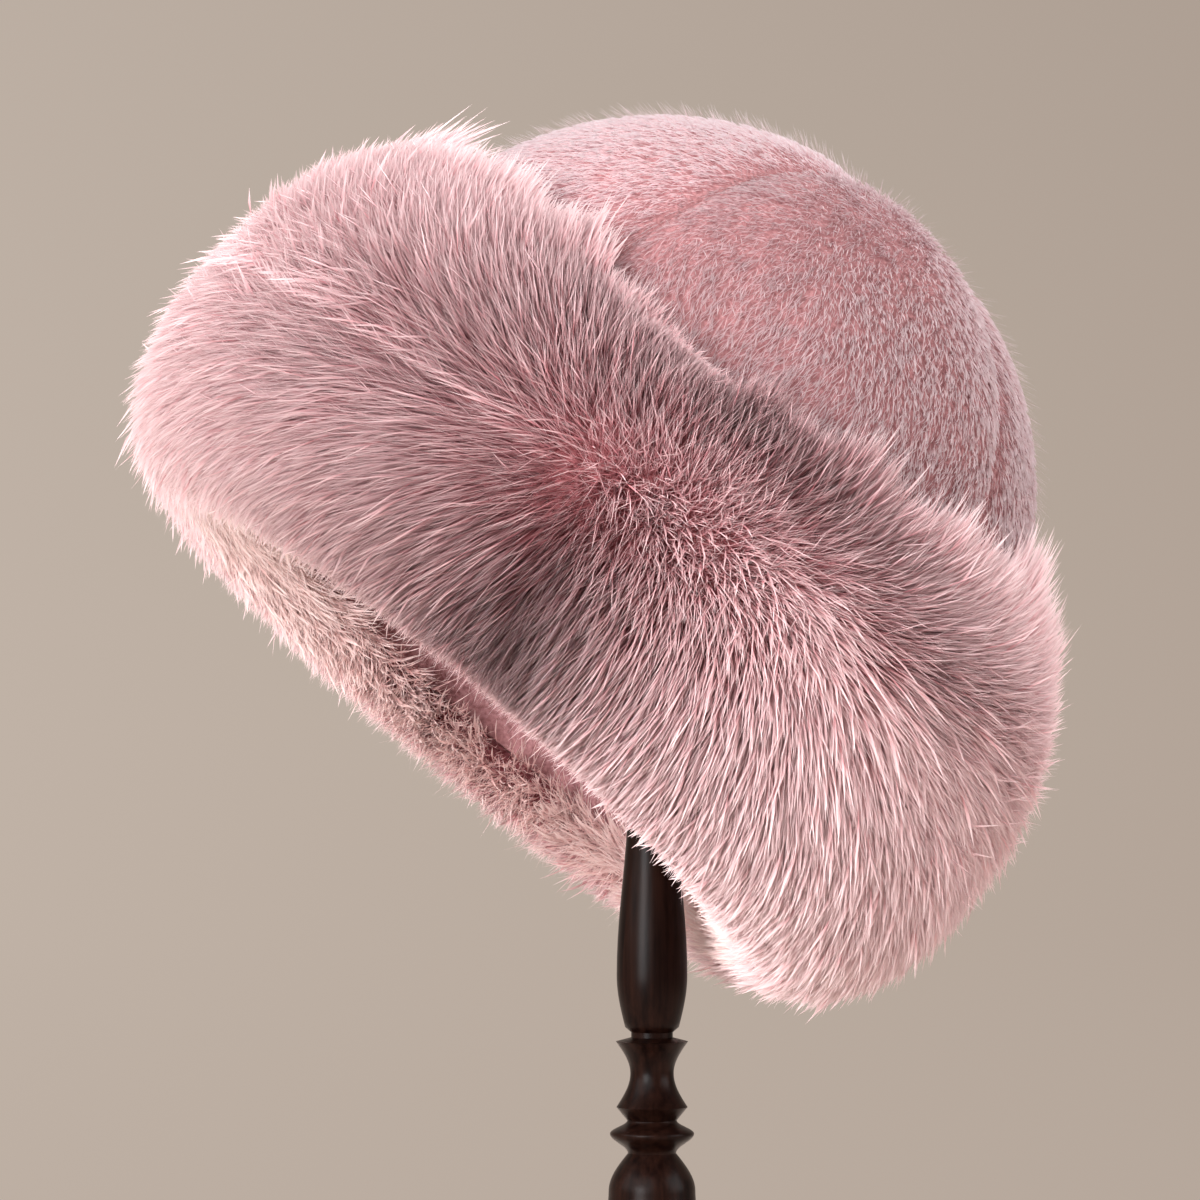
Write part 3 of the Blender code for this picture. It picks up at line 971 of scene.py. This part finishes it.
@dataclass
class Studio:
    """The camera, the lights and the pale surround."""

    distance: float = 1.85
    scale: float = 3650.0
    picture: float = 1200.0
    aim: tuple[float, float] = (-0.01425, 0.26014)
    sensor: float = 36.0
    room: float = 4.6
    cove: float = 1.4
    wall: float = 3.2
    near: Colour = linear(196, 182, 170)
    # Painted light of the glowing surround, brighter on the left than on the right.
    left: Colour = linear(193, 179, 167)
    right: Colour = linear(178, 163, 151)
    white: Colour = (0.99, 0.985, 1.0)
    sky: Colour = (0.55, 0.50, 0.46)
    sky_strength: float = 0.8
    lights: tuple = (
        # name, place, length of the sides, watts
        ("key", (-2.0, -0.8, 1.15), 1.6, 30.0),
        ("top_back", (0.5, 1.3, 1.9), 1.2, 34.0),
        ("top", (-0.3, -0.2, 2.3), 1.8, 24.0),
        ("front", (-0.9, -2.2, 1.15), 2.2, 62.0),
        ("right", (1.7, -0.6, 0.9), 1.4, 34.0),
        ("low", (-0.9, -1.4, 0.36), 0.7, 27.0),
    )

    def build_camera(self) -> None:
        """A long lens level with the hat, at the photograph's framing."""
        lens = bpy.data.cameras.new("camera")
        lens.sensor_width = self.sensor
        lens.lens = self.sensor * self.scale * self.distance / self.picture
        lens.dof.use_dof = False
        camera = bpy.data.objects.new("camera", lens)
        camera.location = (self.aim[0], -self.distance, self.aim[1])
        camera.rotation_euler = (math.pi / 2, 0.0, 0.0)
        bpy.context.scene.collection.objects.link(camera)
        bpy.context.scene.camera = camera

    def build_light(self, name: str, place: Sequence[float], size: float, power: float) -> None:
        """A square soft light that faces the hat.

        Args:
            name: its name.
            place: where it stands.
            size: the length of its sides.
            power: its power in watts.
        """
        lamp = bpy.data.lights.new(name, "AREA")
        lamp.shape = "SQUARE"
        lamp.size = size
        lamp.energy = power
        lamp.color = self.white
        holder = bpy.data.objects.new(name, lamp)
        bpy.context.scene.collection.objects.link(holder)
        holder.location = place
        holder.visible_camera = False
        aim = np.array((0.0, 0.0, 0.28)) - np.array(place)
        holder.rotation_euler = Vector(aim).to_track_quat("-Z", "Y").to_euler()

    def build_surround(self) -> None:
        """A round floor that curves up into a wall, and gives a soft light back.

        Near the stand it is a pale floor that takes shadows. Further out it
        Further out it glows with painted light, a little brighter on the left
        and a little dimmer up the wall.
        """
        bend = np.linspace(0, math.pi / 2, 13)
        flat = self.room - self.cove
        cove = np.stack((flat + self.cove * np.sin(bend), self.cove * (1 - np.cos(bend))), axis=1)
        profile = np.concatenate((
            np.array(((0.02, 0.0), (0.4, 0.0), (1.2, 0.0))), cove, np.array(((self.room, self.wall),)),
        ))
        around = np.linspace(0, 2 * math.pi, 96, endpoint=False)[:, None]
        points = np.stack((
            profile[None, :, 0] * np.cos(around), profile[None, :, 0] * np.sin(around),
            profile[None, :, 1] + 0 * around - 0.0002,
        ), axis=-1)
        middle = np.zeros((96, 1, 3))
        middle[..., 2] = -0.0002
        mesh = sheet_mesh("surround", np.concatenate((middle, points), axis=1), (True, False))
        made, tree, shader = new_material("surround")
        place = tree.nodes.new("ShaderNodeTexCoord")
        parts = tree.nodes.new("ShaderNodeSeparateXYZ")
        tree.links.new(place.outputs["Object"], parts.inputs["Vector"])
        sideways = tree.nodes.new("ShaderNodeMapRange")
        sideways.inputs["From Min"].default_value = -0.6
        sideways.inputs["From Max"].default_value = 0.6
        tree.links.new(parts.outputs["X"], sideways.inputs["Value"])
        across = ramp(tree, sideways.outputs["Result"], ((0.0, self.left), (1.0, self.right)))
        # Painted fall-off of light: the glow dims a little up the wall.
        upward = tree.nodes.new("ShaderNodeMapRange")
        upward.inputs["From Max"].default_value = self.wall
        tree.links.new(parts.outputs["Z"], upward.inputs["Value"])
        level = ramp(tree, upward.outputs["Result"], ((0.05, (1.0,) * 3), (0.28, (0.94,) * 3)))
        shade = tree.nodes.new("ShaderNodeMix")
        shade.data_type = "RGBA"
        shade.blend_type = "MULTIPLY"
        shade.inputs["Factor"].default_value = 1.0
        tree.links.new(across, shade.inputs["A"])
        tree.links.new(level, shade.inputs["B"])
        colour = shade.outputs["Result"]
        flatten = tree.nodes.new("ShaderNodeMapping")
        flatten.inputs["Scale"].default_value = (1.0, 1.0, 0.0)
        tree.links.new(place.outputs["Object"], flatten.inputs["Vector"])
        far = tree.nodes.new("ShaderNodeVectorMath")
        far.operation = "LENGTH"
        tree.links.new(flatten.outputs["Vector"], far.inputs[0])
        beyond = tree.nodes.new("ShaderNodeMapRange")
        beyond.interpolation_type = "SMOOTHSTEP"
        beyond.inputs["From Min"].default_value = 0.25
        beyond.inputs["From Max"].default_value = 1.0
        tree.links.new(far.outputs["Value"], beyond.inputs["Value"])
        shader.inputs["Base Color"].default_value = (*self.near, 1.0)
        shader.inputs["Roughness"].default_value = 0.9
        shine = tree.nodes.new("ShaderNodeEmission")
        tree.links.new(colour, shine.inputs["Color"])
        both = tree.nodes.new("ShaderNodeMixShader")
        tree.links.new(beyond.outputs["Result"], both.inputs["Fac"])
        tree.links.new(shader.outputs["BSDF"], both.inputs[1])
        tree.links.new(shine.outputs["Emission"], both.inputs[2])
        tree.links.new(both.outputs["Shader"], tree.nodes["Material Output"].inputs["Surface"])
        mesh.materials.append(made)
        surround = bpy.data.objects.new("surround", mesh)
        bpy.context.scene.collection.objects.link(surround)

    def build(self) -> None:
        """The camera, the surround, the lights and the screen's own colours."""
        self.build_camera()
        self.build_surround()
        for light in self.lights:
            self.build_light(*light)
        scene = bpy.context.scene
        world = bpy.data.worlds.new("studio")
        world.use_nodes = True
        sky = world.node_tree.nodes["Background"]
        sky.inputs["Color"].default_value = (*self.sky, 1.0)
        sky.inputs["Strength"].default_value = self.sky_strength
        scene.world = world
        scene.view_settings.view_transform = "Standard"
        scene.cycles.debug_use_spatial_splits = True
        scene.cycles.use_light_tree = False
        scene.cycles.max_bounces = 3


def main() -> None:
    """Builds the hat on its stand and the studio round it."""
    logging.basicConfig(level=logging.INFO, format="%(message)s")
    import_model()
    Studio().build()
    wood = WoodFinish().make()
    stand = Stand()
    for build in (stand.build_base, stand.build_spindle, stand.build_head):
        LOG.info("made %s", build(wood).name)
    seat = HatSeat()
    crown = Crown(seat)
    plush = UnderFurFinish("plush_ground", linear(140, 90, 92), linear(184, 134, 136)).make()
    pile = FurFinish(
        "plush_pile", linear(176, 124, 128), linear(212, 178, 180), linear(230, 214, 216)
    ).make()
    for gore in Gore:
        LOG.info("made %s", crown.build_gore(gore, plush).name)
    LOG.info("made %s", crown.build_pile(pile).name)
    cuff = FurCuff(seat)
    under = UnderFurFinish("under_fur", linear(104, 46, 50), linear(156, 90, 94)).make()
    long_fur = FurFinish(
        "long_fur_blades", linear(150, 64, 72), linear(226, 164, 168), linear(242, 217, 217)
    ).make()
    # The hem's fur is paler all through: painted light on the cuff's underside.
    hem_painted_light_fur = FurFinish(
        "hem_fur_painted_light", linear(224, 170, 168), linear(242, 204, 200), linear(248, 224, 220)
    ).make()
    LOG.info("made %s", cuff.build_body(under).name)
    for stretch in cuff.stretches:
        fur = hem_painted_light_fur if stretch.name == "hem" else long_fur
        LOG.info("made %s", cuff.build_coat(stretch, fur).name)


if __name__ == "__main__":
    main()
